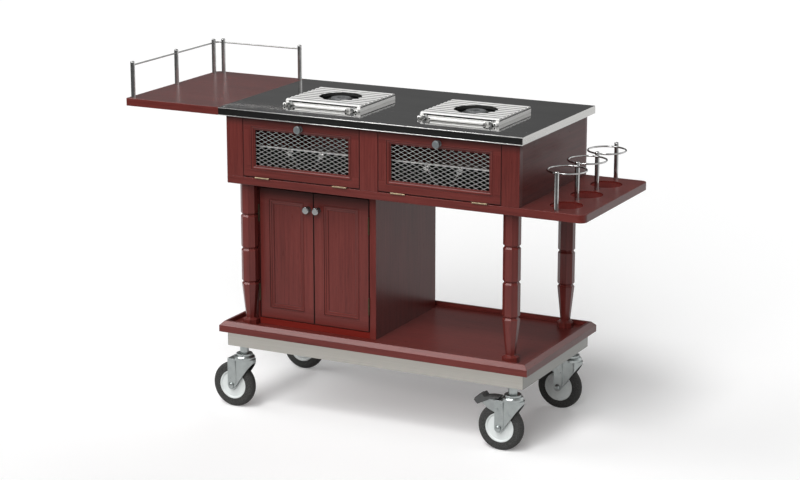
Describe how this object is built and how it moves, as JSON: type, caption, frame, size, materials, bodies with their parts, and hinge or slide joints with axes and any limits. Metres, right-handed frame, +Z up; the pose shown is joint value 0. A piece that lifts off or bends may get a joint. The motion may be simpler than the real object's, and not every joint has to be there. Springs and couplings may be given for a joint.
{
  "type": "flambe trolley",
  "caption": "Wooden flambe service trolley with a black worktop, gas burners, mesh flaps, a two-door cupboard, a railed side shelf, a bottle shelf with rings, and swivel castors.",
  "frame": {"origin": "on the floor under the middle of the outer box", "axes": "+X to the right along the trolley as seen from its door side, +Y to its back, +Z up"},
  "size_m": [1.44, 0.5196, 1.0117],
  "materials": {
    "mahogany": "stained red-brown, satin lacquer, fine lengthwise grain",
    "black_top": "polished black, mirror-like",
    "polished_steel": "polished steel",
    "satin_knob": "satin chrome",
    "bright_knob": "bright chrome",
    "chassis_steel": "brushed stainless",
    "zinc": "bright zinc plate",
    "hub_plastic": "light grey nylon",
    "tyre_rubber": "dark grey rubber, plain tread",
    "brake_plastic": "dark grey pedal on a zinc lever",
    "brass": "brushed brass",
    "mesh_steel": "expanded metal, light grey",
    "black_steel": "black, semi-gloss",
    "burner_steel": "polished stainless",
    "grate_steel": "polished bars",
    "burner_iron": "matt black"
  },
  "bodies": {
    "trolley": {"back_legs": "mahogany", "bottle_rings": "polished_steel", "burner_bodies": "burner_steel", "burner_grates": "grate_steel", "burner_heads": "burner_iron", "castor_plates": "chassis_steel", "castor_stems": "zinc", "chassis_rails": "chassis_steel", "cupboard_back": "mahogany", "cupboard_decks": "mahogany", "cupboard_sides": "mahogany", "edge_band": "polished_steel", "fixed_hinges": "brass", "front_legs": "mahogany", "gallery_posts": "polished_steel", "gallery_rail": "polished_steel", "gas_pipes": "bright_knob", "ring_posts": "polished_steel", "shelf_board": "mahogany", "top_board": "mahogany", "tray_floor": "mahogany", "tray_lip": "mahogany", "upper_back": "mahogany", "upper_stiles": "mahogany", "upper_walls": "mahogany", "valve_panels": "black_steel", "worktop_plate": "black_top"},
    "castor_front_left": {"fork_front_left": "zinc"},
    "wheel_front_left": {"hub_front_left": "hub_plastic", "tyre_front_left": "tyre_rubber"},
    "castor_front_right": {"fork_front_right": "zinc"},
    "wheel_front_right": {"hub_front_right": "hub_plastic", "tyre_front_right": "tyre_rubber"},
    "brake_front_right": {"brake_front_right": "brake_plastic"},
    "castor_back_left": {"fork_back_left": "zinc"},
    "wheel_back_left": {"hub_back_left": "hub_plastic", "tyre_back_left": "tyre_rubber"},
    "castor_back_right": {"fork_back_right": "zinc"},
    "wheel_back_right": {"hub_back_right": "hub_plastic", "tyre_back_right": "tyre_rubber"},
    "brake_back_right": {"brake_back_right": "brake_plastic"},
    "flap_left": {"flap_left": "mahogany", "mesh_left": "mesh_steel", "flap_knob_left": "satin_knob", "flap_leaf_left": "brass"},
    "flap_right": {"flap_right": "mahogany", "mesh_right": "mesh_steel", "flap_knob_right": "satin_knob", "flap_leaf_right": "brass"},
    "door_left": {"cupboard_door_left": "mahogany", "cupboard_knob_left": "bright_knob", "cupboard_leaf_left": "brass"},
    "door_right": {"cupboard_door_right": "mahogany", "cupboard_knob_right": "bright_knob", "cupboard_leaf_right": "brass"},
    "left_tap_left": {"left_burner_knob_left": "bright_knob"},
    "left_tap_right": {"left_burner_knob_right": "bright_knob"},
    "right_tap_left": {"right_burner_knob_left": "bright_knob"},
    "right_tap_right": {"right_burner_knob_right": "bright_knob"}
  },
  "joints": [
    {"name": "swivel_front_left", "type": "hinge", "parent": "trolley", "child": "castor_front_left", "pos_m": [-0.361, -0.20375, 0.158], "axis": [0, 0, 1], "continuous": true},
    {"name": "roll_front_left", "type": "hinge", "parent": "castor_front_left", "child": "wheel_front_left", "pos_m": [-0.395, -0.20375, 0.068], "axis": [0, 1, 0], "continuous": true},
    {"name": "swivel_front_right", "type": "hinge", "parent": "trolley", "child": "castor_front_right", "pos_m": [0.503, -0.20375, 0.158], "axis": [0, 0, 1], "continuous": true},
    {"name": "roll_front_right", "type": "hinge", "parent": "castor_front_right", "child": "wheel_front_right", "pos_m": [0.469, -0.20375, 0.068], "axis": [0, 1, 0], "continuous": true},
    {"name": "brake_press_front_right", "type": "hinge", "parent": "castor_front_right", "child": "brake_front_right", "pos_m": [0.4635, -0.20375, 0.1215], "axis": [0, -1, 0], "range_deg": [0, 12]},
    {"name": "swivel_back_left", "type": "hinge", "parent": "trolley", "child": "castor_back_left", "pos_m": [-0.361, 0.21325, 0.158], "axis": [0, 0, 1], "continuous": true},
    {"name": "roll_back_left", "type": "hinge", "parent": "castor_back_left", "child": "wheel_back_left", "pos_m": [-0.395, 0.21325, 0.068], "axis": [0, 1, 0], "continuous": true},
    {"name": "swivel_back_right", "type": "hinge", "parent": "trolley", "child": "castor_back_right", "pos_m": [0.503, 0.21325, 0.158], "axis": [0, 0, 1], "continuous": true},
    {"name": "roll_back_right", "type": "hinge", "parent": "castor_back_right", "child": "wheel_back_right", "pos_m": [0.469, 0.21325, 0.068], "axis": [0, 1, 0], "continuous": true},
    {"name": "brake_press_back_right", "type": "hinge", "parent": "castor_back_right", "child": "brake_back_right", "pos_m": [0.4635, 0.21325, 0.1215], "axis": [0, -1, 0], "range_deg": [0, 12]},
    {"name": "flap_open_left", "type": "hinge", "parent": "trolley", "child": "flap_left", "pos_m": [-0.14575, -0.24035, 0.7082], "axis": [1, 0, 0], "range_deg": [0, 95]},
    {"name": "flap_open_right", "type": "hinge", "parent": "trolley", "child": "flap_right", "pos_m": [0.28775, -0.24035, 0.7082], "axis": [1, 0, 0], "range_deg": [0, 95]},
    {"name": "door_open_left", "type": "hinge", "parent": "trolley", "child": "door_left", "pos_m": [-0.3225, -0.17385, 0.4692], "axis": [0, 0, -1], "range_deg": [0, 90]},
    {"name": "door_open_right", "type": "hinge", "parent": "trolley", "child": "door_right", "pos_m": [0.037, -0.17385, 0.4692], "axis": [0, 0, 1], "range_deg": [0, 170]},
    {"name": "left_tap_turn_left", "type": "hinge", "parent": "trolley", "child": "left_tap_left", "pos_m": [-0.2335, -0.13165, 0.9112], "axis": [0, -1, 0], "range_deg": [0, 240]},
    {"name": "left_tap_turn_right", "type": "hinge", "parent": "trolley", "child": "left_tap_right", "pos_m": [-0.0305, -0.13165, 0.9112], "axis": [0, -1, 0], "range_deg": [0, 240]},
    {"name": "right_tap_turn_left", "type": "hinge", "parent": "trolley", "child": "right_tap_left", "pos_m": [0.1965, -0.13165, 0.9112], "axis": [0, -1, 0], "range_deg": [0, 240]},
    {"name": "right_tap_turn_right", "type": "hinge", "parent": "trolley", "child": "right_tap_right", "pos_m": [0.3995, -0.13165, 0.9112], "axis": [0, -1, 0], "range_deg": [0, 240]}
  ]
}
